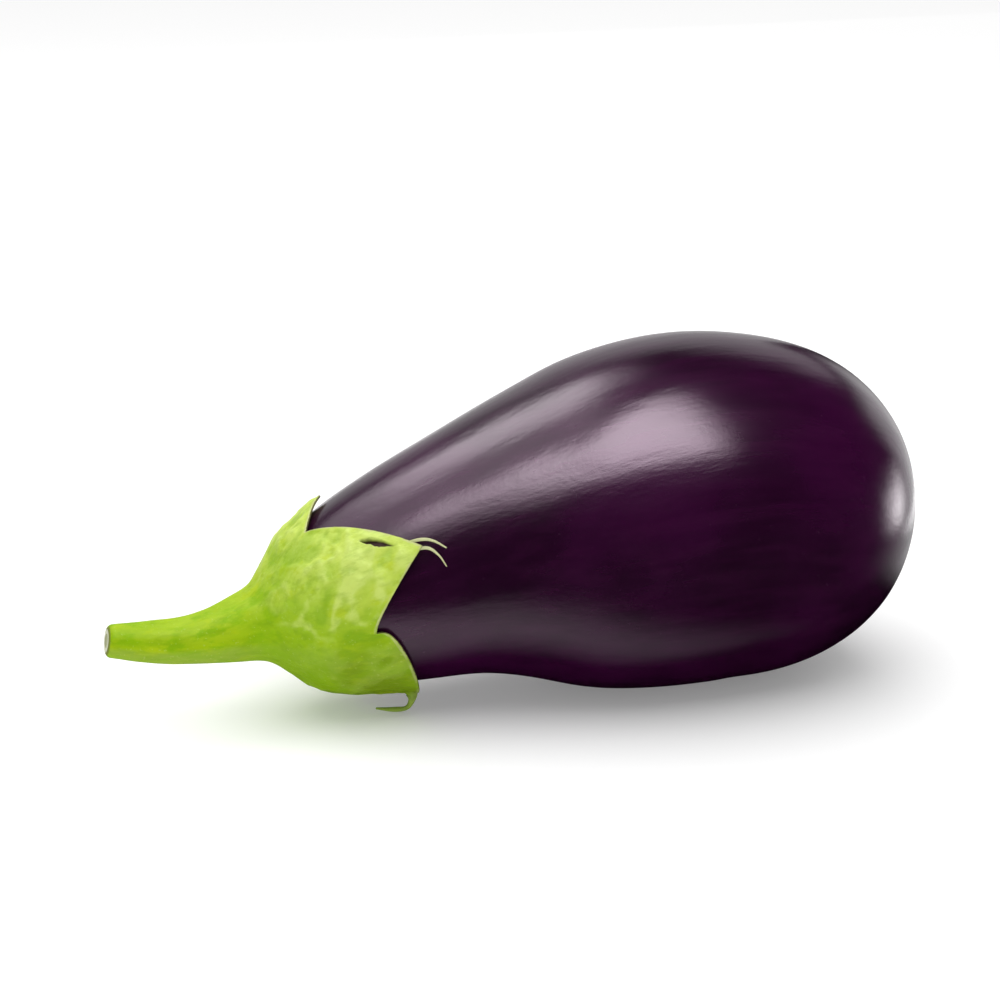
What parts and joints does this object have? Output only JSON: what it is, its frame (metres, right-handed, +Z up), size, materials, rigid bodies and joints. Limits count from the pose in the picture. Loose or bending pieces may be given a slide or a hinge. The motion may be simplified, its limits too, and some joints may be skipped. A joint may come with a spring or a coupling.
{
  "type": "eggplant",
  "caption": "Whole eggplant as picked, lying on its side: dark glossy fruit with a lobed green calyx and a short cut stem.",
  "frame": {"origin": "on the table, at the flat spot that the fruit rests on, close to under its centre of mass", "axes": "+Z up, +X towards the blossom end, so the stem points along -X; +Y is the side away from the camera"},
  "size_m": [0.2195, 0.0944, 0.0933],
  "materials": {
    "fruit_skin": "gloss",
    "calyx_green": "satin"
  },
  "bodies": {
    "root": {"fruit": "fruit_skin", "calyx_and_stem": "calyx_green"}
  },
  "joints": []
}
